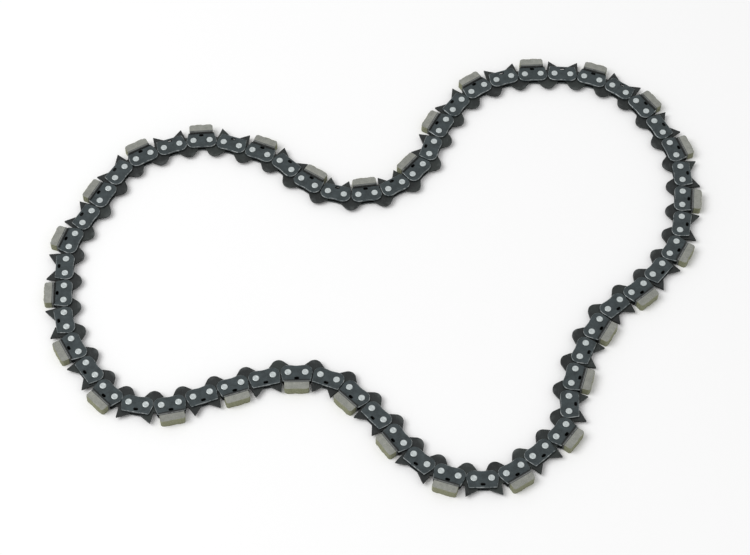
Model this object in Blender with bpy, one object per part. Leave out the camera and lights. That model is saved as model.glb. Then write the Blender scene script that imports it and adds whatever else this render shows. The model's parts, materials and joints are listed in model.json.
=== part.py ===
# Diamond saw chain, a closed loop lying flat on its side, in metres with Z up.
# Thirty double pitches follow each other round the loop. Each has a cutter link, a drive link,
# a plain tie link and a second drive link. A link is laid out in its own plane with its first
# rivet at the origin, X towards the next rivet, Y towards the inside of the loop and Z up.

import math

import bmesh
import bpy
from mathutils import Matrix, Vector

MM = 0.001

# Chain layout
PAIRS = 30  # double pitches in the loop
TIE_SPACING = 10.10 * MM  # between the two rivets of a strap
DRIVE_SPACING = 8.95 * MM  # between the two rivets of a drive link
MASTER = 3  # the double pitch that the chain is opened and joined at
FUSED = (5, 8, 10, 13, 16, 20, 22, 25, 28)  # double pitches whose two units are one node

# Straps, the side plates that hold the rivets
STRAP_THICK = 1.20 * MM
STRAP_REACH = 4.30 * MM  # past the rivet, at the strap's widest
STRAP_CROWN = 5.10 * MM  # inner edge, above the rivet line
STRAP_WAIST = 4.70 * MM  # inner edge at the middle of the strap
STRAP_OUTER = 5.95 * MM  # outer edge, below the rivet line
OUTER_REACH = 3.00 * MM  # past the rivet, at the outer corner
CROWN_REACH = 0.60 * MM  # past the rivet, where the rounded corner ends
CORNER_PULL = (3.70 * MM, 4.90 * MM)  # control point of the rounded corner
WINDOW = (3.00 * MM, 1.90 * MM)  # slot between the rivets
WINDOW_DROP = 4.00 * MM  # slot centre below the rivet line

# Drive links, the middle plates with the tang and the horn
DRIVE_THICK = 1.50 * MM
SIDE_GAP = 0.20 * MM  # between a drive link and each strap
DRIVE_END = 4.10 * MM  # radius of a drive link's ends
TANG_HEIGHT = 10.15 * MM
TANG_BASE = 12.90 * MM  # tang width where it leaves the straps
TANG_TOP = 2.90 * MM  # width of the tang's rounded tip
HORN_DEPTH = 11.10 * MM
HORN_BACK = 0.10 * MM  # foot of the horn's steep edge, cutter side of the middle
HORN_TIP = 1.40 * MM  # tip of the horn, tie side of the middle
HORN_FOOT = 2.90 * MM  # past the rivet, where the long slope meets the tie

# Rivets
HEAD_RADIUS = 2.10 * MM
HEAD_HEIGHT = 0.55 * MM
SHANK_RADIUS = 1.60 * MM
PIVOT_CLEARANCE = 0.12 * MM  # between a turning shank's corners and its hole's flats
OPEN_CLEARANCE = 0.40 * MM  # the same at the pivot where the loop is opened
SEAT = 0.10 * MM  # between pieces that are clamped or brazed but kept separate

# Diamond segments
SEGMENT_LENGTH = 14.50 * MM
SEGMENT_HEIGHT = 5.75 * MM
SEGMENT_WIDTH = 5.70 * MM
SEGMENT_BEVEL = 0.90 * MM
SEGMENT_SAG = 0.35 * MM  # the outer face is crowned by this much
BRAZE_OVERLAP = 0.20 * MM  # how far a fused segment reaches over the straps' edge

# Facets: the joined links repeat sixty times and get few, the master section gets more
PLAIN_FACETS = {"corner": 2, "tang": 2, "head": 6, "shank": 5, "fine": False}
FINE_FACETS = {"corner": 5, "tang": 7, "head": 16, "shank": 10, "fine": True}

# The loop as it lies, one point every two or three links, in millimetres
ROUTE = (
    (-121, -106), (-100, -98), (-68, -86), (-43, -81), (-20, -87), (4, -110), (32, -140),
    (68, -146), (97, -125), (110, -109), (112, -88), (121, -58), (136, -31), (158, -12),
    (179, 19), (184, 48), (184, 76), (174, 102), (152, 132), (126, 144), (100, 145),
    (76, 141), (52, 126), (35, 98), (25, 71), (4, 51), (-24, 46), (-47, 55), (-64, 70),
    (-86, 79), (-110, 84), (-137, 76), (-158, 62), (-169, 40), (-186, 4), (-187, -18),
    (-182, -56), (-162, -88), (-149, -102),
)
ROUTE_START = (-186, -37)  # the first rivet lies at the route's nearest point to this
ROUTE_STEP = 0.5 * MM

MID = SEGMENT_WIDTH / 2  # height of the chain's middle plane over the floor
STRAP_IN = DRIVE_THICK / 2 + SIDE_GAP  # inner face of a strap, from the middle plane
STRAP_OUT = STRAP_IN + STRAP_THICK
HEAD_TOP = STRAP_OUT + HEAD_HEIGHT

COLOURS = {
    "strap": ((0.048, 0.060, 0.064), 0.42, 0.75),
    "drive": ((0.028, 0.031, 0.031), 0.50, 0.70),
    "rivet": ((0.620, 0.650, 0.640), 0.32, 0.85),
    "segment": ((0.270, 0.270, 0.235), 0.80, 0.25),
}


# Route of the rivets

def curve_points(points):
    """Closed centripetal Catmull-Rom curve through the points, as a fine polygon."""
    fine = []
    count = len(points)
    for i in range(count):
        p = [Vector(points[(i + k) % count]) * MM for k in (-1, 0, 1, 2)]
        t = [0.0]
        for a, b in zip(p, p[1:]):
            t.append(t[-1] + (b - a).length ** 0.5)
        steps = max(1, math.ceil((p[2] - p[1]).length / ROUTE_STEP))
        for s in range(steps):
            x = t[1] + (t[2] - t[1]) * s / steps
            a = [p[k].lerp(p[k + 1], (x - t[k]) / (t[k + 1] - t[k])) for k in range(3)]
            b = [a[k].lerp(a[k + 1], (x - t[k]) / (t[k + 2] - t[k])) for k in range(2)]
            fine.append(b[0].lerp(b[1], (x - t[1]) / (t[2] - t[1])))
    return fine


def next_point(curve, place, distance):
    """The next place along the curve that is this far from a place, in a straight line."""
    count = len(curve)
    start = curve[int(place) % count].lerp(curve[(int(place) + 1) % count], place % 1)
    i = int(place) + 1
    while (curve[i % count] - start).length < distance:
        i += 1
    a, b = curve[(i - 1) % count], curve[i % count]
    low, high = 0.0, 1.0
    for _ in range(40):
        half = (low + high) / 2
        if (a.lerp(b, half) - start).length < distance:
            low = half
        else:
            high = half
    return i - 1 + high


def lay_rivets():
    """Rivet centres round the loop. The route is scaled until the last link meets the first."""
    route = curve_points(ROUTE)
    aim = Vector(ROUTE_START) * MM
    first = min(range(len(route)), key=lambda i: (route[i] - aim).length)
    low, high = 0.8, 1.25
    for _ in range(40):
        scale = (low + high) / 2
        curve = [p * scale for p in route]
        places = [float(first)]
        for i in range(4 * PAIRS):
            spacing = TIE_SPACING if i % 2 else DRIVE_SPACING
            places.append(next_point(curve, places[-1], spacing))
        if places[-1] > first + len(curve):
            low = scale
        else:
            high = scale
    spots = [curve[int(q) % len(curve)].lerp(curve[(int(q) + 1) % len(curve)], q % 1) for q in places]
    return spots[:-1]


# Outlines, counter-clockwise

def strap_outline(facets, outer=STRAP_OUTER):
    """Side plate: straight tapering ends, rounded corners on the tang side, a slight waist."""
    steps = facets["corner"]
    start = Vector((STRAP_REACH, 0))
    pull = Vector(CORNER_PULL)
    end = Vector((CROWN_REACH, STRAP_CROWN))
    corner = []
    for s in range(steps + 1):
        t = s / steps
        corner.append(start.lerp(pull, t).lerp(pull.lerp(end, t), t))
    taper = (STRAP_REACH - OUTER_REACH) * outer / STRAP_OUTER
    right = [Vector((STRAP_REACH - taper, -outer))] + corner
    ahead = [(TIE_SPACING + p.x, p.y) for p in right]
    behind = [(-p.x, p.y) for p in reversed(right)]
    waist = [(TIE_SPACING / 2, STRAP_WAIST)] if facets["fine"] else []
    return ahead + waist + behind


def window_outline(facets):
    """Slot between the rivets. Its corners are cut off on the master section."""
    cx, cy = TIE_SPACING / 2, -WINDOW_DROP
    half, drop = WINDOW[0] / 2, WINDOW[1] / 2
    if not facets["fine"]:
        return [
            (cx - half, cy - drop), (cx + half, cy - drop),
            (cx + half, cy + drop), (cx - half, cy + drop),
        ]
    cut = drop * 0.45
    return [
        (cx - half, cy - drop + cut), (cx - half + cut, cy - drop),
        (cx + half - cut, cy - drop), (cx + half, cy - drop + cut),
        (cx + half, cy + drop - cut), (cx + half - cut, cy + drop),
        (cx - half + cut, cy + drop), (cx - half, cy + drop - cut),
    ]


def drive_outline(facets, tie_ahead):
    """Middle plate with a rounded tang inside the loop and a pointed horn outside it.

    The horn's steep edge faces the cutter and its long slope runs to the tie.
    """
    middle = DRIVE_SPACING / 2
    base = STRAP_CROWN
    rise = TANG_HEIGHT - base
    steps = facets["tang"]
    tang = []
    for s in range(steps + 1):
        t = s / steps
        half = TANG_BASE / 2 + (TANG_TOP / 2 - TANG_BASE / 2) * t
        bulge = math.sin(math.pi * t) * rise * 0.17
        tang.append((middle + half + bulge * 0.75, base + rise * t + bulge * 0.55))
    tang += [(2 * middle - x, y) for x, y in reversed(tang)]
    r = DRIVE_END
    behind = [(-r, r * 0.2), (-r * 0.72, -r * 0.70)]
    horn = [
        (middle - HORN_BACK, -r * 1.08), (middle + HORN_TIP, -HORN_DEPTH),
        (DRIVE_SPACING + HORN_FOOT, -STRAP_OUTER - SIDE_GAP),
    ]
    ahead = [(DRIVE_SPACING + r * 0.80, -r * 0.62), (DRIVE_SPACING + r, r * 0.2)]
    outline = behind + horn + ahead + tang
    if tie_ahead:
        return outline
    return [(DRIVE_SPACING - x, y) for x, y in reversed(outline)]


def segment_outline(facets, top):
    """Sintered cutting block with its ends' corners broken, crowned on the outer face."""
    middle = TIE_SPACING / 2
    half = SEGMENT_LENGTH / 2
    low = -STRAP_OUTER - SEGMENT_HEIGHT
    b = SEGMENT_BEVEL
    crown = [(middle, low - SEGMENT_SAG)] if facets["fine"] else []
    start = [(middle - half, top), (middle - half, low + b), (middle - half + b, low)]
    end = [(middle + half - b, low), (middle + half, low + b), (middle + half, top)]
    return start + crown + end


# Solids

def prism(outline, low, high):
    """Plate with this outline between two heights over the middle plane."""
    bm = bmesh.new()
    face = bm.faces.new([bm.verts.new((x, y, MID + low)) for x, y in outline])
    raised = bmesh.ops.extrude_face_region(bm, geom=[face])["geom"]
    tops = [v for v in raised if isinstance(v, bmesh.types.BMVert)]
    bmesh.ops.translate(bm, verts=tops, vec=(0, 0, high - low))
    return finished(bm)


def turned(profile, sides, x):
    """Solid of revolution about a rivet's axis, from (radius, height) pairs, bottom to top."""
    bm = bmesh.new()
    rings = []
    for radius, height in profile:
        ring = []
        for k in range(sides):
            angle = 2 * math.pi * (k + 0.5) / sides
            spot = (x + radius * math.cos(angle), radius * math.sin(angle), MID + height)
            ring.append(bm.verts.new(spot))
        rings.append(ring)
    for lower, upper in zip(rings, rings[1:]):
        for k in range(sides):
            n = (k + 1) % sides
            bm.faces.new((lower[k], lower[n], upper[n], upper[k]))
    bm.faces.new(reversed(rings[0]))
    bm.faces.new(rings[-1])
    return finished(bm)


def finished(bm):
    bmesh.ops.recalc_face_normals(bm, faces=bm.faces)
    mesh = bpy.data.meshes.new("solid")
    bm.to_mesh(mesh)
    bm.free()
    return mesh


def placed(mesh, matrix):
    copy = mesh.copy()
    copy.transform(matrix)
    return copy


def coloured(mesh, name):
    """The mesh, all in one of the part's materials."""
    mesh.materials.clear()
    mesh.materials.append(bpy.data.materials[name])
    return mesh


def combine(mesh, others, operation):
    """Boolean of a mesh with others, as a new mesh. Each face keeps its material."""
    main = bpy.data.objects.new("main", mesh)
    bpy.context.collection.objects.link(main)
    helpers = [main]
    for other in others:
        helper = bpy.data.objects.new("helper", other)
        bpy.context.collection.objects.link(helper)
        helpers.append(helper)
        modifier = main.modifiers.new("combine", "BOOLEAN")
        modifier.operation = operation
        modifier.solver = "EXACT"
        modifier.material_mode = "TRANSFER"
        modifier.object = helper
    graph = bpy.context.evaluated_depsgraph_get()
    result = bpy.data.meshes.new_from_object(main.evaluated_get(graph))
    for helper in helpers:
        bpy.data.objects.remove(helper)
    return result


def hole_radius(facets, clearance):
    """Corner radius of a hole whose flats clear a shank's corners."""
    return (SHANK_RADIUS + clearance) / math.cos(math.pi / facets["shank"])


def strap(side, facets, outer=STRAP_OUTER, rivet_holes=False):
    """Side plate above (side 1) or below (side -1) the drive links, with its slot."""
    low, high = sorted((side * STRAP_IN, side * STRAP_OUT))
    plate = prism(strap_outline(facets, outer), low, high)
    cuts = [prism(window_outline(facets), low - SEAT, high + SEAT)]
    if rivet_holes:
        for x in (0, TIE_SPACING):
            profile = [(SHANK_RADIUS + SEAT, low - SEAT), (SHANK_RADIUS + SEAT, high + SEAT)]
            cuts.append(turned(profile, facets["shank"], x))
    return coloured(combine(plate, cuts, "DIFFERENCE"), "strap")


def rivet_head(side, facets, x, seat):
    """Flat-topped head on a strap's outer face."""
    sides = facets["head"]
    base, top = side * (STRAP_OUT + seat), side * HEAD_TOP
    profile = [(HEAD_RADIUS, base), (HEAD_RADIUS * 0.94, top)]
    if facets["fine"]:
        shoulder = base + (top - base) * 0.6
        profile = [(HEAD_RADIUS, base), (HEAD_RADIUS, shoulder), (HEAD_RADIUS * 0.84, top)]
    if side < 0:
        profile.reverse()
    return turned(profile, sides, x)


def rivet(facets, x, seat=0.0):
    """Shank with a head at each end."""
    reach = STRAP_OUT + HEAD_HEIGHT / 2
    shank = turned([(SHANK_RADIUS, -reach), (SHANK_RADIUS, reach)], facets["shank"], x)
    heads = [rivet_head(side, facets, x, seat) for side in (-1, 1)]
    return coloured(combine(shank, heads, "UNION"), "rivet")


def tie_pair(facets):
    """Two plain straps riveted together."""
    upper = strap(1, facets)
    others = [strap(-1, facets)] + [rivet(facets, x) for x in (0, TIE_SPACING)]
    return combine(upper, [others[1], others[2], others[0]], "UNION")


def segment(facets, top):
    block = prism(segment_outline(facets, top), -SEGMENT_WIDTH / 2, SEGMENT_WIDTH / 2)
    return coloured(block, "segment")


def cutter_link(facets):
    """Two straps riveted together, with the diamond segment brazed along their outer edge."""
    block = segment(facets, -STRAP_OUTER + BRAZE_OVERLAP)
    return combine(tie_pair(facets), [block], "UNION")


def drive_link(facets, tie_ahead, holes):
    """Drive link with a hole at each rivet named in holes, as (x, clearance) pairs."""
    plate = prism(drive_outline(facets, tie_ahead), -DRIVE_THICK / 2, DRIVE_THICK / 2)
    cuts = []
    for x, clearance in holes:
        radius = hole_radius(facets, clearance)
        profile = [(radius, -DRIVE_THICK), (radius, DRIVE_THICK)]
        cuts.append(turned(profile, facets["shank"], x))
    return coloured(combine(plate, cuts, "DIFFERENCE"), "drive")


# Assembly

def add_material(name):
    colour, roughness, metallic = COLOURS[name]
    made = bpy.data.materials.new(name)
    made.use_nodes = True
    shader = made.node_tree.nodes["Principled BSDF"]
    shader.inputs["Base Color"].default_value = (*colour, 1)
    shader.inputs["Roughness"].default_value = roughness
    shader.inputs["Metallic"].default_value = metallic


def link_frame(rivets, i):
    """Placement of link i, which runs from rivet i to the next one."""
    a, b = rivets[i % len(rivets)], rivets[(i + 1) % len(rivets)]
    angle = math.atan2(b.y - a.y, b.x - a.x)
    return Matrix.Translation((a.x, a.y, 0)) @ Matrix.Rotation(angle, 4, "Z")


def tie_unit(plain, rivets, first):
    """Drive link, plain tie and drive link, held at the tie's two rivets as they lie."""
    home = link_frame(rivets, first).inverted()
    parts = [
        placed(plain["tie"], home @ link_frame(rivets, first + 1)),
        placed(plain["drive_in"], Matrix()),
        placed(plain["drive_out"], home @ link_frame(rivets, first + 2)),
    ]
    return combine(parts[0], parts[1:], "UNION")


def add(name, mesh, frame, joint_at):
    """Object with its origin on the rivet that it turns about."""
    origin = Vector((joint_at.x, joint_at.y, 0))
    turn = frame.to_3x3().to_4x4()
    spot = Matrix.Translation(origin) @ turn
    own = placed(mesh, spot.inverted() @ frame)
    own.name = name
    piece = bpy.data.objects.new(name, own)
    piece.location = origin
    piece.rotation_euler = turn.to_euler()
    bpy.context.collection.objects.link(piece)
    return piece


def master_section(rivets, joint_of):
    """The double pitch where the chain comes apart, every piece on its own."""
    fine = FINE_FACETS
    cut_at, tie_at = 4 * MASTER + 3, 4 * MASTER + 5
    cutter, tie = link_frame(rivets, cut_at), link_frame(rivets, tie_at)
    drives = [link_frame(rivets, tie_at - 1), link_frame(rivets, tie_at + 1)]
    turning = PIVOT_CLEARANCE
    pieces = [
        ("cutter_strap_upper", strap(1, fine, rivet_holes=True), cutter),
        ("cutter_strap_lower", strap(-1, fine, rivet_holes=True), cutter),
        ("cutter_rivet_rear", rivet(fine, 0, SEAT), cutter),
        ("cutter_rivet_front", rivet(fine, TIE_SPACING, SEAT), cutter),
        ("diamond_segment", segment(fine, -STRAP_OUTER - SEAT), cutter),
        ("master_strap_upper", strap(1, fine, rivet_holes=True), tie),
        ("master_strap_lower", strap(-1, fine, rivet_holes=True), tie),
        ("master_rivet_rear", rivet(fine, 0, SEAT), tie),
        ("master_rivet_front", rivet(fine, TIE_SPACING, SEAT), tie),
        (
            "drive_link_rear",
            drive_link(fine, True, [(0, turning), (DRIVE_SPACING, turning)]),
            drives[0],
        ),
        (
            "drive_link_front",
            drive_link(fine, False, [(0, OPEN_CLEARANCE), (DRIVE_SPACING, turning)]),
            drives[1],
        ),
    ]
    for name, mesh, frame in pieces:
        add(name, mesh, frame, joint_of[name])


def joints(rivets):
    """Which rivet each node turns on. The loop is a tree from its far side, opened at the master tie."""
    count = len(rivets)
    opened = 4 * MASTER + 6
    turns = {}
    for pair in range(PAIRS):
        start = 4 * pair + 3
        ahead = (start - opened) % count < count / 2
        if pair == MASTER:
            cutter, tie = rivets[start], rivets[start + 1]
            for name in ("strap_upper", "strap_lower", "rivet_rear", "rivet_front"):
                turns["cutter_" + name] = cutter
                turns["master_" + name] = rivets[start + 2]
            turns["diamond_segment"] = cutter
            turns["drive_link_rear"] = tie
            turns["drive_link_front"] = rivets[start + 4]
            continue
        near, mid, far = (rivets[(start + k) % count] for k in (0, 1, 4))
        number = f"{pair + 1:02d}"
        if pair in FUSED:
            turns["link_unit_" + number] = far if ahead else near
        else:
            turns["cutter_link_" + number] = mid if ahead else near
            turns["tie_unit_" + number] = far if ahead else mid
    return turns


def settle(pieces):
    """Centre the loop's box on the origin."""
    bpy.context.view_layer.update()
    spots = [piece.matrix_world @ v.co for piece in pieces for v in piece.data.vertices]
    middle = [(min(p[k] for p in spots) + max(p[k] for p in spots)) / 2 for k in (0, 1)]
    for piece in pieces:
        piece.location.x -= middle[0]
        piece.location.y -= middle[1]


def main():
    for old in list(bpy.data.objects):
        bpy.data.objects.remove(old)
    for name in COLOURS:
        add_material(name)
    rivets = lay_rivets()
    joint_of = joints(rivets)
    plain = PLAIN_FACETS
    turning = PIVOT_CLEARANCE
    shapes = {
        "cutter": cutter_link(plain),
        "tie": tie_pair(plain),
        "drive_in": drive_link(plain, True, [(0, turning)]),
        "drive_out": drive_link(plain, False, [(DRIVE_SPACING, turning)]),
        "drive_fused": drive_link(plain, True, []),
    }
    for pair in range(PAIRS):
        if pair == MASTER:
            master_section(rivets, joint_of)
            continue
        start = 4 * pair + 3
        number = f"{pair + 1:02d}"
        cutter_frame = link_frame(rivets, start)
        if pair in FUSED:
            fused = dict(shapes, drive_in=shapes["drive_fused"])
            unit = tie_unit(fused, rivets, start + 1)
            shift = cutter_frame.inverted() @ link_frame(rivets, start + 1)
            whole = combine(placed(shapes["cutter"], Matrix()), [placed(unit, shift)], "UNION")
            name = "link_unit_" + number
            add(name, whole, cutter_frame, joint_of[name])
        else:
            name = "cutter_link_" + number
            add(name, shapes["cutter"], cutter_frame, joint_of[name])
            name = "tie_unit_" + number
            unit = tie_unit(shapes, rivets, start + 1)
            add(name, unit, link_frame(rivets, start + 1), joint_of[name])
    settle(list(bpy.data.objects))


main()
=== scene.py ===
import json
import math

import bpy
from mathutils import Matrix, Vector


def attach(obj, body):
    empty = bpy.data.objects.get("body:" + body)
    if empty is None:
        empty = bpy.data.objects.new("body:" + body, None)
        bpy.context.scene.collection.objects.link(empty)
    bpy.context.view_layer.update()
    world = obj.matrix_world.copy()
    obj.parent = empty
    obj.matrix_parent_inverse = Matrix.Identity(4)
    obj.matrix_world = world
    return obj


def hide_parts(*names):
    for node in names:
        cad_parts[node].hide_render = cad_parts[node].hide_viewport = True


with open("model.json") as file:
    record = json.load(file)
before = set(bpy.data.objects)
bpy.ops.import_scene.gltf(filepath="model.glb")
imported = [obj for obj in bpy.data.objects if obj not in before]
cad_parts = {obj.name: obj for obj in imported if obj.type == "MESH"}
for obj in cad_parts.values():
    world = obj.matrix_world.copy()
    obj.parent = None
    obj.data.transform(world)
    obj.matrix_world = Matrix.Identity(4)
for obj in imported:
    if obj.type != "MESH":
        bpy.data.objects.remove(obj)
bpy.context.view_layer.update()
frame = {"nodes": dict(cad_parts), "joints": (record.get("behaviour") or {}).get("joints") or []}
mm = 0.001
close = 0.1 * mm  # what lies within this distance of a line counts as lying on it


# where the chain lies: the same route as the CAD, laid link by link
chain = {
    "pairs": 30, "master": 3, "rivetsPerPair": 4, "firstRivet": 3,
    "tieSpacing": 10.10 * mm, "driveSpacing": 8.95 * mm, "middle": 2.85 * mm,
    "startNear": (-186, -37), "step": 0.5 * mm, "scales": (0.8, 1.25), "halvings": 40,
    "route": (
        (-121, -106), (-100, -98), (-68, -86), (-43, -81), (-20, -87), (4, -110), (32, -140),
        (68, -146), (97, -125), (110, -109), (112, -88), (121, -58), (136, -31), (158, -12),
        (179, 19), (184, 48), (184, 76), (174, 102), (152, 132), (126, 144), (100, 145),
        (76, 141), (52, 126), (35, 98), (25, 71), (4, 51), (-24, 46), (-47, 55), (-64, 70),
        (-86, 79), (-110, 84), (-137, 76), (-158, 62), (-169, 40), (-186, 4), (-187, -18),
        (-182, -56), (-162, -88), (-149, -102),
    ),
}


def smoothRoute():  # a centripetal curve through the route's points, in fine steps
    points = [Vector(p) * mm for p in chain["route"]]
    count = len(points)
    fine = []
    for i in range(count):
        p = [points[(i + k) % count] for k in (-1, 0, 1, 2)]
        t = [0.0]
        for a, b in zip(p, p[1:]):
            t.append(t[-1] + (b - a).length ** 0.5)
        steps = max(1, math.ceil((p[2] - p[1]).length / chain["step"]))
        for s in range(steps):
            x = t[1] + (t[2] - t[1]) * s / steps
            a = [p[k].lerp(p[k + 1], (x - t[k]) / (t[k + 1] - t[k])) for k in range(3)]
            b = [a[k].lerp(a[k + 1], (x - t[k]) / (t[k + 2] - t[k])) for k in range(2)]
            fine.append(b[0].lerp(b[1], (x - t[1]) / (t[2] - t[1])))
    return fine


def pointAt(curve, place):
    i = int(place)
    return curve[i % len(curve)].lerp(curve[(i + 1) % len(curve)], place % 1)


def stepAlong(curve, place, distance):  # the next place at this straight distance from the last one
    start = pointAt(curve, place)
    i = int(place) + 1
    while (curve[i % len(curve)] - start).length < distance:
        i += 1
    a, b = curve[(i - 1) % len(curve)], curve[i % len(curve)]
    low, high = 0.0, 1.0
    for _ in range(chain["halvings"]):
        half = (low + high) / 2
        if (a.lerp(b, half) - start).length < distance:
            low = half
        else:
            high = half
    return i - 1 + high


def rivetSpots():  # the route is scaled until the last link meets the first
    route = smoothRoute()
    aim = Vector(chain["startNear"]) * mm
    first = min(range(len(route)), key=lambda i: (route[i] - aim).length)
    low, high = chain["scales"]
    for _ in range(chain["halvings"]):
        scale = (low + high) / 2
        curve = [p * scale for p in route]
        places = [float(first)]
        for i in range(chain["rivetsPerPair"] * chain["pairs"]):
            spacing = chain["tieSpacing"] if i % 2 else chain["driveSpacing"]
            places.append(stepAlong(curve, places[-1], spacing))
        if places[-1] > first + len(curve):
            low = scale
        else:
            high = scale
    return [pointAt(curve, place) for place in places[:-1]]


def linkPlace(i):  # from a link's own plane to where it lies
    a, b = rivets[i % len(rivets)], rivets[(i + 1) % len(rivets)]
    turn = Matrix.Rotation(math.atan2(b.y - a.y, b.x - a.x), 4, "Z")
    return Matrix.Translation((a.x, a.y, chain["middle"])) @ turn


rivets = rivetSpots()
known = [j for j in frame["joints"] if j["name"].endswith("_pivot")][0]
number = int(known["name"].split("_")[1])
moveBy = Vector(known["pos_m"][:2]) - rivets[number]  # the loop as a whole goes where the CAD has it
rivets = [p + moveBy for p in rivets]
print("chain laid out:", len(rivets), "rivets")


# camera, at the photograph's angle
photoCamera = {
    "at": (-1.5 * mm, -727.6 * mm, 1097.5 * mm),
    "elevation": math.radians(56.84), "roll": math.radians(1.86),
    "lens": 104.42, "sensor": 36, "clip": (0.01, 20),
}


def addCamera():
    rise, roll = photoCamera["elevation"], photoCamera["roll"]
    right, up = Vector((1, 0, 0)), Vector((0, math.sin(rise), math.cos(rise)))
    back = Vector((0, -math.cos(rise), math.sin(rise)))
    turnedRight = right * math.cos(roll) + up * math.sin(roll)
    turnedUp = up * math.cos(roll) - right * math.sin(roll)
    data = bpy.data.cameras.new("photoCamera")
    data.sensor_width = photoCamera["sensor"]
    data.lens = photoCamera["lens"]
    data.clip_start, data.clip_end = photoCamera["clip"]
    camera = bpy.data.objects.new("photoCamera", data)
    columns = Matrix((turnedRight, turnedUp, back)).transposed()
    camera.matrix_world = Matrix.Translation(photoCamera["at"]) @ columns.to_4x4()
    bpy.context.collection.objects.link(camera)
    bpy.context.scene.camera = camera


addCamera()
print("camera set")


# shader maths
class Value:
    def __init__(self, tree, socket):
        self.tree = tree
        self.socket = socket

    def node(self, kind, settings, inputs, output=0):
        made = self.tree.nodes.new(kind)
        for name, value in settings.items():
            setattr(made, name, value)
        for name, value in inputs.items():
            if isinstance(value, Value):
                self.tree.links.new(value.socket, made.inputs[name])
            else:
                made.inputs[name].default_value = value
        return Value(self.tree, made.outputs[output])

    def maths(self, operation, *values):
        return self.node("ShaderNodeMath", {"operation": operation}, dict(enumerate(values)))

    def __add__(self, other):
        return self.maths("ADD", self, other)

    def __radd__(self, other):
        return self.maths("ADD", other, self)

    def __rsub__(self, other):
        return self.maths("SUBTRACT", other, self)

    def __mul__(self, other):
        return self.maths("MULTIPLY", self, other)

    def root(self):
        return self.maths("SQRT", self)

    def sine(self):
        return self.maths("SINE", self)

    def absolute(self):
        return self.maths("ABSOLUTE", self)

    def clamped(self, start, end):  # 0 at the start, 1 at the end
        return self.node("ShaderNodeMapRange", {}, {0: self, 1: start, 2: end, 3: 0.0, 4: 1.0})

    def mixed(self, a, b):  # a where this is 0, b where it is 1
        return self.node("ShaderNodeMix", {"data_type": "RGBA"}, {0: self, 6: a, 7: b}, 2)


def newMaterial(name, look):
    material = bpy.data.materials.new(name)
    material.use_nodes = True
    tree = material.node_tree
    shader = tree.nodes["Principled BSDF"]
    shader.inputs["Metallic"].default_value = look["metallic"]
    shader.inputs["Roughness"].default_value = look["roughness"]
    place = Value(tree, tree.nodes.new("ShaderNodeTexCoord").outputs["Object"])
    return material, tree, shader, place


def noise(place, scale, detail):
    inputs = {"Vector": place, "Scale": scale, "Detail": detail, "Roughness": 0.55}
    return place.node("ShaderNodeTexNoise", {}, inputs)


def stretched(place, factors):
    return place.node("ShaderNodeMapping", {}, {0: place, 3: factors})


def onLink(place, axis):  # 0 along the link and 1 into the loop, from the UV map made with the pattern
    uv = place.node("ShaderNodeUVMap", {"uv_map": "linkPlace"}, {})
    return place.node("ShaderNodeSeparateXYZ", {}, {0: uv}, axis)


def tint(colour, k):
    return (colour[0] * k, colour[1] * k, colour[2] * k, 1)


def shaded(pattern, look, colour):  # the colour, darker and lighter as the pattern goes
    dark, light = look["tints"]
    return pattern.clamped(*look["band"]).mixed(tint(colour, dark), tint(colour, light))


def layer(base, pattern, look, share=None):  # a colour over the base, where the pattern is up in its band
    amount = pattern.clamped(*look["band"])
    if share is not None:
        amount = amount * share
    return (amount * look["strength"]).mixed(base, (*look["colour"], 1))


def plug(tree, value, socket):
    tree.links.new(value.socket, socket)


def addBump(tree, shader, height, look):
    inputs = {"Strength": look["strength"], "Distance": look["distance"], "Height": height}
    plug(tree, height.node("ShaderNodeBump", {}, inputs), shader.inputs["Normal"])


strapFinish = {
    "colour": (0.036, 0.046, 0.049), "metallic": 0.60, "roughness": 0.46,
    "blotches": {"scale": 260, "band": (0.32, 0.70), "tints": (0.72, 1.30)},
    "grain": {"scale": 1900, "band": (0.45, 0.90), "strength": 0.50, "colour": (0.0612, 0.0782, 0.0833)},
    "scuffs": {
        "scale": 420, "stretch": (1, 6, 1), "band": (0.60, 0.78),
        "strength": 0.45, "colour": (0.12, 0.14, 0.14),
    },
    "rubbed": {
        "band": (0.225, 0.262), "patches": (0.40, 0.65),
        "strength": 0.50, "colour": (0.15, 0.16, 0.16),
    },
    "segmentSideBand": {"band": (-0.196, -0.250), "ragged": 0.06, "strength": 0.96, "colour": (0.006, 0.007, 0.007)},
    "dull": {"least": 0.34, "blotches": 0.20, "grain": 0.06},
    "bump": {"grain": 0.7, "blotches": 0.6, "strength": 0.28, "distance": 0.12 * mm},
}


def strapSteel(name, darkenSegmentSide):
    look = strapFinish
    material, tree, shader, place = newMaterial(name, look)
    inward = onLink(place, 1)
    blotches = noise(place, look["blotches"]["scale"], 4)
    grain = noise(place, look["grain"]["scale"], 2)
    scuffs = noise(stretched(place, look["scuffs"]["stretch"]), look["scuffs"]["scale"], 3)
    base = shaded(blotches, look["blotches"], look["colour"])
    base = layer(base, grain, look["grain"])
    base = layer(base, scuffs, look["scuffs"])
    patches = blotches.clamped(*look["rubbed"]["patches"])  # the bar rubs the inner edge in patches
    base = layer(base, inward, look["rubbed"], patches)
    # the cutter straps turn nearly black towards their outer edge, next to the segment
    if darkenSegmentSide:
        base = layer(base, inward + blotches * look["segmentSideBand"]["ragged"], look["segmentSideBand"])
    dull, bump = look["dull"], look["bump"]
    roughness = dull["least"] + blotches * dull["blotches"] + grain * dull["grain"]
    plug(tree, base, shader.inputs["Base Color"])
    plug(tree, roughness, shader.inputs["Roughness"])
    addBump(tree, shader, grain * bump["grain"] + blotches * bump["blotches"], bump)
    return material


# painted edge highlight, partly real wear: the coined edge is painted lighter than the strap, lightest in
# patches
edgeFinish = {
    "colour": (0.054, 0.069, 0.0735), "metallic": 0.85, "roughness": 0.30,
    "wear": {"scale": 520, "band": (0.38, 0.66), "colour": (0.33, 0.35, 0.35)},
    "dull": {"most": 0.42, "wear": 0.14},
}


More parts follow.
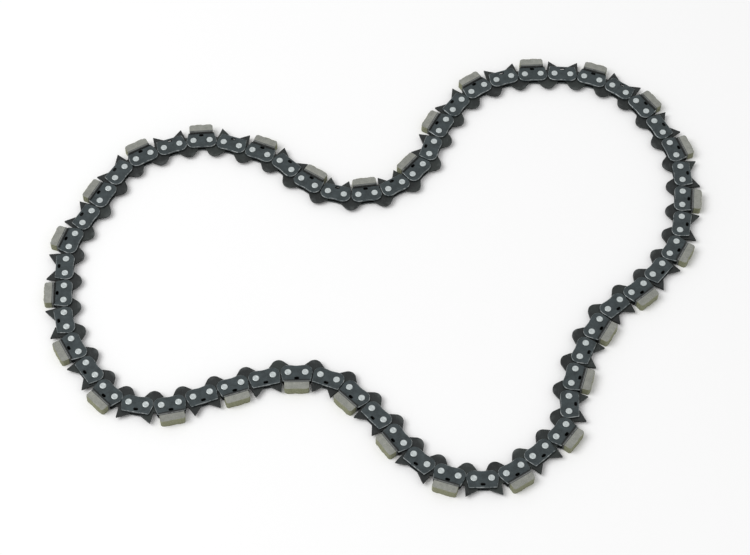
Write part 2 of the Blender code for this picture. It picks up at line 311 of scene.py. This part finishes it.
def edgeSteel():
    look = edgeFinish
    material, tree, shader, place = newMaterial("coinedEdgeHighlight", look)
    # the lighter coined edge is a painted highlight, partly real wear
    wear = noise(place, look["wear"]["scale"], 3).clamped(*look["wear"]["band"])
    plug(tree, wear.mixed((*look["colour"], 1), (*look["wear"]["colour"], 1)), shader.inputs["Base Color"])
    plug(tree, look["dull"]["most"] - wear * look["dull"]["wear"], shader.inputs["Roughness"])
    return material


# painted shade for the straps' inner faces and slots: near black, with little gloss
insideShadeFinish = {
    "colour": (0.0065, 0.0070, 0.0070), "metallic": 0.20, "roughness": 0.70, "gloss": 0.15,
    "mottling": {"scale": 700, "band": (0.40, 0.72), "tints": (1.0, 2.2)},
}


def insideShadeSteel():  # painted shade, near black, on the straps' inner faces and slot walls
    look = insideShadeFinish
    material, tree, shader, place = newMaterial("paintedInsideShade", look)
    mottling = noise(place, look["mottling"]["scale"], 3)
    plug(tree, shaded(mottling, look["mottling"], look["colour"]), shader.inputs["Base Color"])
    shader.inputs["Specular IOR Level"].default_value = look["gloss"]
    return material


driveFinish = {
    "colour": (0.0135, 0.0160, 0.0160), "metallic": 0.50, "roughness": 0.52,
    "blotches": {"scale": 230, "band": (0.30, 0.72), "tints": (0.70, 1.35)},
    "grain": {"scale": 2300},
    "lighterLinks": {"scale": 42, "band": (0.50, 0.62), "strength": 0.80, "colour": (0.024, 0.030, 0.028)},
    "swept": {
        "scale": 300, "stretch": (7, 1, 1), "band": (0.58, 0.80),
        "strength": 0.35, "colour": (0.10, 0.11, 0.11),
    },
    "polished": {
        "band": (0.36, 0.50), "patches": (0.42, 0.62),
        "strength": 0.40, "colour": (0.13, 0.14, 0.14),
    },
    "dull": {"least": 0.40, "blotches": 0.20, "grain": 0.05},
    "bump": {"blotches": 0.5, "strength": 0.30, "distance": 0.10 * mm},
}


def driveSteel():
    look = driveFinish
    material, tree, shader, place = newMaterial("driveLinkSteel", look)
    blotches = noise(place, look["blotches"]["scale"], 4)
    grain = noise(place, look["grain"]["scale"], 2)
    randomTone = noise(place, look["lighterLinks"]["scale"], 1)  # some links are a little lighter and greener, varying with place
    swept = noise(stretched(place, look["swept"]["stretch"]), look["swept"]["scale"], 2)
    base = shaded(blotches, look["blotches"], look["colour"])
    base = layer(base, randomTone, look["lighterLinks"])
    base = layer(base, swept, look["swept"])
    patches = blotches.clamped(*look["polished"]["patches"])  # the tang's tip slides in the bar
    base = layer(base, onLink(place, 1), look["polished"], patches)
    dull, bump = look["dull"], look["bump"]
    roughness = dull["least"] + blotches * dull["blotches"] + grain * dull["grain"]
    plug(tree, base, shader.inputs["Base Color"])
    plug(tree, roughness, shader.inputs["Roughness"])
    addBump(tree, shader, grain + blotches * bump["blotches"], bump)
    return material


rivetFinish = {
    "colour": (0.50, 0.54, 0.54), "metallic": 0.80, "roughness": 0.38,
    "smudge": {"scale": 900, "band": (0.42, 0.74), "strength": 1, "colour": (0.34, 0.37, 0.37)},
    # the darker band round the head's edge is painted shade
    "rimShade": {"band": (0.088, 0.104), "strength": 0.70, "colour": (0.20, 0.22, 0.22)},
    "rings": 900, "dull": {"least": 0.28, "smudge": 0.16},
    "bump": {"rings": 0.25, "strength": 0.22, "distance": 0.08 * mm},
}


def rivetSteel():
    look = rivetFinish
    material, tree, shader, place = newMaterial("rivetSteel", look)
    x, y = onLink(place, 0), onLink(place, 1)
    outward = (x * x + y * y).root()
    rings = (outward * look["rings"]).sine()
    smudge = noise(place, look["smudge"]["scale"], 3)
    base = layer((*look["colour"], 1), smudge, look["smudge"])
    # painted shade: the head grows darker towards its edge, standing in for the shade round a domed head
    base = layer(base, outward, look["rimShade"])
    plug(tree, base, shader.inputs["Base Color"])
    plug(tree, look["dull"]["least"] + smudge * look["dull"]["smudge"], shader.inputs["Roughness"])
    addBump(tree, shader, rings * look["bump"]["rings"] + smudge, look["bump"])
    return material


segmentFinish = {
    "colour": (0.266, 0.272, 0.246), "face": (0.205, 0.212, 0.128), "metallic": 0.18, "roughness": 0.78,
    "clouds": {"scale": 330, "band": (0.34, 0.68), "tints": (0.82, 1.14)},
    "randomTone": {"scale": 31, "band": (0.60, 0.40), "strength": 0.30, "colour": (0.1596, 0.1632, 0.1476)},
    "grit": {"scale": 1500, "band": (0.34, 0.10), "strength": 0.55, "colour": (0.46, 0.46, 0.40)},
    "pores": {"scale": 2600, "band": (0.62, 0.76), "strength": 0.50, "colour": (0.10, 0.10, 0.085)},
    "flank": (0.35, 0.75),
    "worn": {"band": (-0.548, -0.560), "ragged": 0.050, "strength": 0.85, "colour": (0.205, 0.212, 0.128)},
    # painted shade: a dark band along the segment's root, next to the strap
    "root": {"band": (-0.352, -0.344), "ragged": 0.010, "strength": 0.90, "colour": (0.030, 0.033, 0.034)},
    # a painted bright broken line along the braze, standing in for its glints
    "brazed": {
        "at": 0.317, "band": (0.009, 0.003), "ragged": 0.012, "patches": (0.36, 0.46),
        "strength": 0.58, "colour": (0.40, 0.42, 0.41),
    },
    "dull": {"least": 0.66, "clouds": 0.22},
    "bump": {"band": (0.45, 0.05), "grit": 0.8, "pores": 0.9, "strength": 0.65, "distance": 0.16 * mm},
}


def segmentMetal():
    look = segmentFinish
    material, tree, shader, place = newMaterial("sinteredSegment", look)
    inward = onLink(place, 1)
    clouds = noise(place, look["clouds"]["scale"], 4)
    grains = {"Vector": place, "Scale": look["grit"]["scale"]}
    grit = place.node("ShaderNodeTexVoronoi", {"feature": "F1"}, grains)
    pores = noise(place, look["pores"]["scale"], 2)
    randomTone = noise(place, look["randomTone"]["scale"], 1)  # no two segments have quite the same tone
    base = shaded(clouds, look["clouds"], look["colour"])
    base = layer(base, randomTone, look["randomTone"])
    normal = place.node("ShaderNodeNewGeometry", {}, {}, 1)
    flank = place.node("ShaderNodeSeparateXYZ", {}, {0: normal}, 2).absolute().clamped(*look["flank"])
    base = flank.mixed((*look["face"], 1), base)  # the cutting face is olive, the flanks grey
    base = layer(base, grit, look["grit"])
    base = layer(base, pores, look["pores"])
    worn, root, brazed = look["worn"], look["root"], look["brazed"]  # from the outer edge inwards
    base = layer(base, inward + clouds * worn["ragged"], worn, flank)
    # painted shade: a dark band along the segment's root, next to the strap
    base = layer(base, inward + clouds * root["ragged"], root)
    # painted highlight: the bright broken line along the braze stands in for its glints
    fromBraze = (inward + clouds * brazed["ragged"] + brazed["at"]).absolute()
    base = layer(base, fromBraze, brazed, clouds.clamped(*brazed["patches"]))
    bump = look["bump"]
    plug(tree, base, shader.inputs["Base Color"])
    plug(tree, look["dull"]["least"] + clouds * look["dull"]["clouds"], shader.inputs["Roughness"])
    addBump(tree, shader, grit.clamped(*bump["band"]) * bump["grit"] + pores * bump["pores"], bump)
    return material


weldFinish = {
    "colour": (0.009, 0.010, 0.010), "metallic": 0.70, "roughness": 0.42,
    # the light specks on the bead's segment side are painted glints
    "bright": {"band": (-0.274, -0.284), "ragged": 0.010, "strength": 1, "colour": (0.34, 0.35, 0.34)},
    "specks": {"scale": 1300, "band": (0.46, 0.60)}, "dull": {"least": 0.38, "specks": 0.20},
    "bump": {"strength": 0.70, "distance": 0.25 * mm},
}


def weldMetal():  # painted glints against the segment, black above it
    look = weldFinish
    material, tree, shader, place = newMaterial("weldSeam", look)
    specks = noise(place, look["specks"]["scale"], 3)
    inward = onLink(place, 1) + specks * look["bright"]["ragged"]
    # painted highlight: light specks along the bead's segment side stand in for glints
    base = layer((*look["colour"], 1), inward, look["bright"], specks.clamped(*look["specks"]["band"]))
    plug(tree, base, shader.inputs["Base Color"])
    plug(tree, look["dull"]["least"] + specks * look["dull"]["specks"], shader.inputs["Roughness"])
    addBump(tree, shader, specks, look["bump"])
    return material


finishes = {
    "strap": strapSteel("strapSteel", False), "cutterStrap": strapSteel("cutterStrapSteel", True),
    "edge": edgeSteel(), "insideShade": insideShadeSteel(), "drive": driveSteel(), "rivet": rivetSteel(),
    "segment": segmentMetal(), "weld": weldMetal(),
}
print("materials made")


# modelling, in the link's own plane: first rivet at the origin, X to the next, Y into the loop
def only(piece):
    if bpy.context.mode != "OBJECT":
        bpy.ops.object.mode_set(mode="OBJECT")
    bpy.ops.object.select_all(action="DESELECT")
    piece.select_set(True)
    bpy.context.view_layer.objects.active = piece


def addBlock(name, low, high):
    bpy.ops.object.select_all(action="DESELECT")
    size = Vector(high) - Vector(low)
    bpy.ops.mesh.primitive_cube_add(size=1, location=(Vector(low) + Vector(high)) / 2)
    block = bpy.context.object
    block.name = name
    block.scale = size
    bpy.ops.object.transform_apply(location=True, rotation=True, scale=True)
    return block


def addCylinder(sides, radius, depth, place, turn=(0, 0, 0)):
    bpy.ops.object.select_all(action="DESELECT")
    bpy.ops.mesh.primitive_cylinder_add(
        vertices=sides, radius=radius, depth=depth, location=place, rotation=turn,
    )
    bpy.ops.object.transform_apply(location=True, rotation=True, scale=True)
    return bpy.context.object


def cutAway(piece, through, outward):
    only(piece)
    bpy.ops.object.mode_set(mode="EDIT")
    bpy.ops.mesh.select_all(action="SELECT")
    bpy.ops.mesh.bisect(
        plane_co=through, plane_no=Vector(outward).normalized(),
        use_fill=True, clear_outer=True, threshold=0.001 * mm,
    )
    bpy.ops.object.mode_set(mode="OBJECT")


def sliceUp(piece, places, across):
    only(piece)
    bpy.ops.object.mode_set(mode="EDIT")
    for place in places:
        bpy.ops.mesh.select_all(action="SELECT")
        bpy.ops.mesh.bisect(plane_co=place, plane_no=across)
    bpy.ops.object.mode_set(mode="OBJECT")


def pick(piece, kind, wanted):  # selects edges or faces, and leaves the piece open for editing
    only(piece)
    bpy.ops.object.mode_set(mode="EDIT")
    bpy.ops.mesh.select_mode(type=kind)
    bpy.ops.mesh.select_all(action="DESELECT")
    bpy.ops.object.mode_set(mode="OBJECT")
    members = piece.data.edges if kind == "EDGE" else piece.data.polygons
    for member in members:
        member.select = wanted(member)
    bpy.ops.object.mode_set(mode="EDIT")


def pickEdges(piece, wanted):  # wanted is asked with the places of an edge's two ends
    pick(piece, "EDGE", lambda edge: wanted(*(piece.data.vertices[v].co for v in edge.vertices)))


def bevelPicked(size, segments):
    bpy.ops.mesh.bevel(offset=size, segments=segments, affect="EDGES", clamp_overlap=True)
    bpy.ops.object.mode_set(mode="OBJECT")


def roundEdges(piece, wanted, size, segments):
    pickEdges(piece, wanted)
    bevelPicked(size, segments)


def upright(a, b):
    return abs(a.z - b.z) > 0.5 * mm


def rims(piece, sides):  # the edges between a flat face on one of these sides and the wall round it
    facing = {}
    for face in piece.data.polygons:
        for key in face.edge_keys:
            facing.setdefault(key, []).append(face.normal.z)
    found = set()
    for key, slopes in facing.items():
        flat = [z for z in slopes if any(side * z > 0.95 for side in sides)]
        walls = [z for z in slopes if abs(z) < 0.3]
        if flat and walls:
            found.add(tuple(sorted(key)))
    return found


def coin(piece, size, sides):  # breaks the edge round each flat side
    wanted = rims(piece, sides)
    pick(piece, "EDGE", lambda edge: tuple(sorted(edge.vertices)) in wanted)
    bevelPicked(size, 1)


def apply(piece, kind, **settings):
    only(piece)
    modifier = piece.modifiers.new(kind.lower(), kind)
    for name, value in settings.items():
        setattr(modifier, name, value)
    bpy.ops.object.modifier_apply(modifier=modifier.name)


def combine(piece, other, operation):
    apply(piece, "BOOLEAN", operation=operation, solver="EXACT", object=other)
    bpy.data.objects.remove(other)


def joined(name, parts):
    only(parts[0])
    for part in parts[1:]:
        part.select_set(True)
    if len(parts) > 1:
        bpy.ops.object.join()
    parts[0].name = name
    return parts[0]


def smoothWalls(piece):
    only(piece)
    bpy.ops.object.shade_smooth_by_angle(angle=math.radians(35))


def markPlace(piece):  # the UV map that patterns along a link follow, 1 for each 20 mm
    uv = piece.data.uv_layers.new(name="linkPlace")
    for loop in piece.data.loops:
        spot = piece.data.vertices[loop.vertex_index].co
        uv.data[loop.index].uv = (spot.x / (20 * mm), spot.y / (20 * mm))
    for spare in [layer.name for layer in piece.data.uv_layers if layer.name != "linkPlace"]:
        piece.data.uv_layers.remove(piece.data.uv_layers[spare])


def paint(piece, *materials):
    piece.data.materials.clear()
    for material in materials:
        piece.data.materials.append(material)
    if len(materials) > 1:  # sloping rims take the second finish
        for face in piece.data.polygons:
            face.material_index = 1 if 0.25 < abs(face.normal.z) < 0.93 else 0


strap = {
    "reach": 4.30 * mm, "crown": 5.10 * mm, "outer": 5.95 * mm, "outerReach": 3.00 * mm,
    "low": 0.95 * mm, "high": 2.15 * mm, "edge": 0.30 * mm, "waist": 0.42 * mm, "waistSteps": 8,
    "corner": 4.3 * mm, "cornerSteps": 7, "outerCorner": 0.35 * mm, "outerSteps": 2,
    "window": (3.0 * mm, 1.8 * mm), "windowDrop": 3.90 * mm, "windowCorner": 0.90 * mm, "windowSteps": 4,
}


def makeStrap(name, side, finish):
    far, reach = chain["tieSpacing"], strap["reach"]
    low, high = sorted((side * strap["low"], side * strap["high"]))
    plate = addBlock(name, (-reach, -strap["outer"], low), (far + reach, strap["crown"], high))
    taper = Vector((strap["outer"], reach - strap["outerReach"], 0)).normalized()
    cutAway(plate, (-reach, 0, 0), (-taper.x, -taper.y, 0))
    cutAway(plate, (far + reach, 0, 0), (taper.x, -taper.y, 0))
    inner, outer = strap["crown"] - close, close - strap["outer"]
    roundEdges(plate, lambda a, b: upright(a, b) and a.y > inner, strap["corner"], strap["cornerSteps"])
    roundEdges(plate, lambda a, b: upright(a, b) and a.y < outer, strap["outerCorner"], strap["outerSteps"])
    steps = strap["waistSteps"]
    sliceUp(plate, [(far * i / steps, 0, 0) for i in range(1, steps)], (1, 0, 0))
    for vertex in plate.data.vertices:  # the inner edge is drawn in between the rivets
        if 0 < vertex.co.x < far and vertex.co.y > inner:
            vertex.co.y -= strap["waist"] * math.sin(math.pi * vertex.co.x / far) ** 2
    coin(plate, strap["edge"], (side,))
    cutSlot(plate, low, high)
    smoothWalls(plate)
    markPlace(plate)
    paint(plate, finishes[finish], finishes["edge"], finishes["insideShade"])
    # painted shade: the slot walls and the face towards the drive link take the near-black third finish
    for face in plate.data.polygons:
        if onSlotWall(face) or side * face.normal.z < -0.9:
            face.material_index = 2
    return plate


def cutSlot(plate, low, high):
    wide, deep = strap["window"]
    x, y = chain["tieSpacing"] / 2, -strap["windowDrop"]
    tool = addBlock("slot", (x - wide / 2, y - deep / 2, low - mm), (x + wide / 2, y + deep / 2, high + mm))
    roundEdges(tool, upright, strap["windowCorner"], strap["windowSteps"])
    combine(plate, tool, "DIFFERENCE")


def onSlotWall(face):
    wide, deep = strap["window"]
    away = face.center - Vector((chain["tieSpacing"] / 2, -strap["windowDrop"], 0))
    return abs(face.normal.z) < 0.3 and abs(away.x) < wide / 2 + close and abs(away.y) < deep / 2 + close


drive = {
    "half": 0.75 * mm, "edge": 0.14 * mm, "end": 4.10 * mm, "endCorner": 3.977 * mm, "endSteps": 8,
    "tangBase": 6.40 * mm, "tangTop": 2.0 * mm, "tangFrom": 5.2 * mm, "tangHeight": 10.15 * mm,
    "tangCorner": 1.9 * mm, "tangSteps": 5, "hip": 1.1 * mm, "hipSteps": 3,
    "hornRoom": (2.0 * mm, 3.5 * mm), "hornDepth": 11.10 * mm, "hornTip": 1.40 * mm, "hornBack": 0.10 * mm,
    "hornFoot": (2.90 * mm, 6.15 * mm), "footSlope": (9.5, -1, 0),
}


def makeDriveLink(name):
    far, half = chain["driveSpacing"], drive["half"]
    middle, end = far / 2, drive["end"]
    bar = addBlock(name, (-end, -end, -half), (far + end, end, half))
    roundEdges(bar, upright, drive["endCorner"], drive["endSteps"])
    combine(bar, makeTang(middle, half), "UNION")
    combine(bar, makeHorn(middle, half), "UNION")
    coin(bar, drive["edge"], (1, -1))
    smoothWalls(bar)
    markPlace(bar)
    paint(bar, finishes["drive"])
    return bar


def makeTang(middle, half):
    base, start, height = drive["tangBase"], drive["tangFrom"], drive["tangHeight"]
    tang = addBlock("tang", (middle - base, 0, -half), (middle + base, height, half))
    slope = Vector((height - start, base - drive["tangTop"], 0)).normalized()
    cutAway(tang, (middle + base, start, 0), (slope.x, slope.y, 0))
    cutAway(tang, (middle - base, start, 0), (-slope.x, slope.y, 0))
    top = height - close
    roundEdges(tang, lambda a, b: upright(a, b) and a.y > top, drive["tangCorner"], drive["tangSteps"])
    roundEdges(tang, lambda a, b: upright(a, b) and abs(a.y - start) < close, drive["hip"], drive["hipSteps"])
    return tang


def makeHorn(middle, half):
    far, depth = chain["driveSpacing"], drive["hornDepth"]
    behind, ahead = drive["hornRoom"]
    horn = addBlock("horn", (middle - behind, -depth, -half), (far + ahead, 0, half))
    tip = Vector((middle + drive["hornTip"], -depth, 0))
    heel = Vector((middle - drive["hornBack"], -drive["end"], 0))
    foot = Vector((far + drive["hornFoot"][0], -drive["hornFoot"][1], 0))
    steep, long = tip - heel, foot - tip
    cutAway(horn, tip, (steep.y, -steep.x, 0))
    cutAway(horn, tip, (long.y, -long.x, 0))
    cutAway(horn, foot, drive["footSlope"])
    return horn


rivet = {
    "head": 2.02 * mm, "sides": 20, "from": 2.13 * mm, "top": 2.70 * mm, "shank": 1.6 * mm, "shankSides": 12,
    "edge": 0.34 * mm, "edgeSteps": 3, "ring": 0.45 * mm, "bowl": 0.22 * mm, "dish": 0.04 * mm,
}


def makeRivet(name, x):
    parts = [addCylinder(rivet["shankSides"], rivet["shank"], 2 * rivet["from"], (0, 0, 0))]
    height = rivet["top"] - rivet["from"]
    top = rivet["top"] - close
    for side in (1, -1):
        place = (0, 0, side * (rivet["from"] + height / 2))
        head = addCylinder(rivet["sides"], rivet["head"], height, place)
        roundEdges(head, lambda a, b: min(side * a.z, side * b.z) > top, rivet["edge"], rivet["edgeSteps"])
        pick(head, "FACE", lambda face: side * face.normal.z > 0.99 and side * face.center.z > top)
        bpy.ops.mesh.inset(thickness=rivet["ring"])
        bpy.ops.mesh.inset(thickness=rivet["bowl"], depth=-rivet["dish"])
        bpy.ops.object.mode_set(mode="OBJECT")
        parts.append(head)
    whole = joined(name, parts)
    markPlace(whole)
    whole.data.transform(Matrix.Translation((x, 0, 0)))
    paint(whole, finishes["rivet"])
    for face in whole.data.polygons:
        face.use_smooth = abs(face.normal.z) < 0.9
    return whole


segment = {
    "from": -2.20 * mm, "to": 12.30 * mm, "root": -5.77 * mm, "outer": -11.90 * mm, "half": 2.85 * mm,
    "shoulder": (2.6 * mm, 0.45 * mm), "corner": 0.85 * mm, "cornerDrop": 0.315 * mm, "cornerSlope": 1.2,
    "edge": 0.16 * mm, "edgeSteps": 2, "slices": 14,
    "wornFrom": -10.80 * mm, "wear": 0.42 * mm, "leastWear": 0.35, "chip": 0.34 * mm,
    "waves": ((0.9, 1.0), (2.3, 0.6), (4.9, 0.5)), "drift": 1.7,
}


def makeSegment(name):
    low, high, outer = segment["from"], segment["to"], segment["outer"]
    block = addBlock(name, (low, outer, -segment["half"]), (high, segment["root"], segment["half"]))
    along, back = segment["shoulder"]
    cutAway(block, (low + along, outer, 0), (-back, -along, 0))
    cutAway(block, (high - along, outer, 0), (back, -along, 0))
    corner, slope, drop = segment["corner"], segment["cornerSlope"], outer + segment["cornerDrop"]
    cutAway(block, (low + corner, drop, 0), (-slope, -1, 0))
    cutAway(block, (high - corner, drop, 0), (slope, -1, 0))
    front = outer + corner + back + mm
    size, steps = segment["edge"], segment["edgeSteps"]
    roundEdges(block, lambda a, b: upright(a, b) or min(a.y, b.y) < front, size, steps)
    slices = segment["slices"]
    sliceUp(block, [(low + (high - low) * i / slices, 0, 0) for i in range(1, slices)], (1, 0, 0))
    sliceUp(block, [(0, segment["wornFrom"], 0)], (0, 1, 0))
    apply(block, "TRIANGULATE")
    markPlace(block)
    paint(block, finishes["segment"])
    return block


def wearDown(mesh, number):  # the cutting face and its edges are worn a little differently on each segment
    depth = segment["wornFrom"] - segment["outer"]
    tallest = sum(size for rate, size in segment["waves"])
    for vertex in mesh.vertices:
        spot = vertex.co
        outward = min(1, max(0, (segment["wornFrom"] - spot.y) / depth))
        side = 1 if spot.z > 0 else -1
        wave = 0
        for rate, size in segment["waves"]:
            wave += size * math.sin(spot.x / mm * rate + number * (segment["drift"] + rate) + side * rate)
        wave = (wave / tallest + 1) / 2
        edge = abs(spot.z) / segment["half"]
        share = segment["leastWear"] + (1 - segment["leastWear"]) * edge
        spot.y += outward ** 2 * segment["wear"] * wave * share
        spot.z -= outward ** 2 * side * segment["chip"] * wave ** 2 * edge


seam = {
    "from": -2.0 * mm, "to": 12.1 * mm, "y": -5.57 * mm, "z": 2.10 * mm, "radius": 0.60 * mm, "sides": 8,
    "lumps": 34, "thin": 0.78, "coarse": (5.1, 0.16), "fine": (11.7, 0.12), "spread": 1.25,
}


def makeSeam(name):
    beads = []
    coarse, coarseSize = seam["coarse"]
    fine, fineSize = seam["fine"]
    for side in (1, -1):
        length = seam["to"] - seam["from"]
        place = ((seam["from"] + seam["to"]) / 2, seam["y"], side * seam["z"])
        bead = addCylinder(seam["sides"], seam["radius"], length, place, (0, math.pi / 2, 0))
        pickEdges(bead, lambda a, b: abs(a.x - b.x) > mm)
        bpy.ops.mesh.subdivide(number_cuts=seam["lumps"])
        bpy.ops.object.mode_set(mode="OBJECT")
        for vertex in bead.data.vertices:
            x = vertex.co.x / mm
            ripple = seam["thin"] + coarseSize * math.sin(x * coarse) + fineSize * math.sin(x * fine + side)
            vertex.co.y = place[1] + (vertex.co.y - place[1]) * ripple * seam["spread"]
            vertex.co.z = place[2] + (vertex.co.z - place[2]) * ripple
        beads.append(bead)
    whole = joined(name, beads)
    markPlace(whole)
    paint(whole, finishes["weld"])
    for face in whole.data.polygons:
        face.use_smooth = True
    return whole


patterns = {
    "tieUpper": makeStrap("tieUpper", 1, "strap"), "tieLower": makeStrap("tieLower", -1, "strap"),
    "cutterUpper": makeStrap("cutterUpper", 1, "cutterStrap"),
    "cutterLower": makeStrap("cutterLower", -1, "cutterStrap"),
    "drive": makeDriveLink("drive"),
    "rivetRear": makeRivet("rivetRear", 0), "rivetFront": makeRivet("rivetFront", chain["tieSpacing"]),
    "segment": joined("segment", [makeSegment("segment"), makeSeam("seam")]),
}
print("patterns modelled:", ", ".join(f"{name} {len(p.data.polygons)}" for name, p in patterns.items()))


# the links, each a copy of its patterns; a drive link that is turned over has its horn leaning the other way
flat = Matrix()
mirrored = Matrix.Translation((chain["driveSpacing"], 0, 0)) @ Matrix.Rotation(math.pi, 4, "Y")


def copyOf(kind, name, i, turn):
    piece = bpy.data.objects.new(name, patterns[kind].data.copy())
    if kind == "segment":
        wearDown(piece.data, i)
    piece.data.transform(linkPlace(i) @ turn)
    bpy.context.collection.objects.link(piece)
    return piece


def lay(name, body, node, wanted):
    piece = joined(name, [copyOf(kind, name + "Part", i, turn) for kind, i, turn in wanted])
    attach(piece, body)
    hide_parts(node)


def layMaster(start):
    cutter, tie = "cutter_link_master", "master_tie"
    for name, body, node, kind, step, turn in (
        ("masterCutterStrapUpper", cutter, "cutter_strap_upper", "cutterUpper", 0, flat),
        ("masterCutterStrapLower", cutter, "cutter_strap_lower", "cutterLower", 0, flat),
        ("masterCutterRivetRear", cutter, "cutter_rivet_rear", "rivetRear", 0, flat),
        ("masterCutterRivetFront", cutter, "cutter_rivet_front", "rivetFront", 0, flat),
        ("masterSegment", cutter, "diamond_segment", "segment", 0, flat),
        ("masterDriveLinkRear", "drive_link_rear", "drive_link_rear", "drive", 1, flat),
        ("masterStrapUpper", tie, "master_strap_upper", "tieUpper", 2, flat),
        ("masterStrapLower", tie, "master_strap_lower", "tieLower", 2, flat),
        ("masterRivetRear", tie, "master_rivet_rear", "rivetRear", 2, flat),
        ("masterRivetFront", tie, "master_rivet_front", "rivetFront", 2, flat),
        ("masterDriveLinkFront", "drive_link_front", "drive_link_front", "drive", 3, mirrored),
    ):
        lay(name, body, node, [(kind, start + step, turn)])


def layChain():
    for pair in range(chain["pairs"]):
        start = chain["rivetsPerPair"] * pair + chain["firstRivet"]
        if pair == chain["master"]:
            layMaster(start)
            continue
        label = f"{pair + 1:02d}"
        cutterNode, tieNode = "cutter_link_" + label, "tie_unit_" + label
        if cutterNode not in frame["nodes"]:
            cutterNode = tieNode = "link_unit_" + label
        lay("cutterLink" + label, cutterNode, cutterNode, [
            ("cutterUpper", start, flat), ("cutterLower", start, flat),
            ("rivetRear", start, flat), ("rivetFront", start, flat),
        ])
        lay("segment" + label, cutterNode, cutterNode, [("segment", start, flat)])
        lay("tieUnit" + label, tieNode, tieNode, [
            ("tieUpper", start + 2, flat), ("tieLower", start + 2, flat),
            ("rivetRear", start + 2, flat), ("rivetFront", start + 2, flat),
            ("drive", start + 1, flat), ("drive", start + 3, mirrored),
        ])


layChain()
for pattern in patterns.values():
    bpy.data.objects.remove(pattern)
print("links laid")


# floor and light
studio = {
    "floor": (0.945, 0.945, 0.945, 1), "floorSize": 6.0, "floorRoughness": 0.9, "floorGloss": 0.1,
    "fill": 0.62, "seen": 1.0, "lamp": 70.0, "lampSize": 2.6, "lampAt": (-2.0, -0.35, 2.8),
}


def addFloor():
    bpy.ops.object.select_all(action="DESELECT")
    bpy.ops.mesh.primitive_plane_add(size=studio["floorSize"], location=(0, 0, 0))
    floor = bpy.context.object
    floor.name = "studioFloor"
    material = bpy.data.materials.new("paper")
    material.use_nodes = True
    shader = material.node_tree.nodes["Principled BSDF"]
    shader.inputs["Base Color"].default_value = studio["floor"]
    shader.inputs["Roughness"].default_value = studio["floorRoughness"]
    shader.inputs["Specular IOR Level"].default_value = studio["floorGloss"]
    floor.data.materials.append(material)


def addSky():  # white all round: dim as a light, bright where the camera or a gloss sees it
    world = bpy.data.worlds.new("studioWorld")
    world.use_nodes = True
    bpy.context.scene.world = world
    tree = world.node_tree
    fill = tree.nodes["Background"]
    seen = tree.nodes.new("ShaderNodeBackground")
    for background, strength in ((fill, studio["fill"]), (seen, studio["seen"])):
        background.inputs["Color"].default_value = (1, 1, 1, 1)
        background.inputs["Strength"].default_value = strength
    path = tree.nodes.new("ShaderNodeLightPath")
    mix = tree.nodes.new("ShaderNodeMixShader")
    direct = Value(tree, path.outputs["Is Camera Ray"])
    glossy = Value(tree, path.outputs["Is Glossy Ray"])
    plug(tree, direct.maths("MAXIMUM", direct, glossy), mix.inputs[0])
    tree.links.new(fill.outputs[0], mix.inputs[1])
    tree.links.new(seen.outputs[0], mix.inputs[2])
    tree.links.new(mix.outputs[0], tree.nodes["World Output"].inputs[0])


def addLamp():
    data = bpy.data.lights.new("softBox", "AREA")
    data.shape = "DISK"
    data.size = studio["lampSize"]
    data.energy = studio["lamp"]
    lamp = bpy.data.objects.new("softBox", data)
    at = Vector(studio["lampAt"])
    lamp.location = at
    lamp.rotation_euler = at.to_track_quat("Z", "Y").to_euler()
    bpy.context.collection.objects.link(lamp)


addFloor()
addSky()
addLamp()
bpy.context.scene.view_settings.view_transform = "Standard"
print("floor and light set")
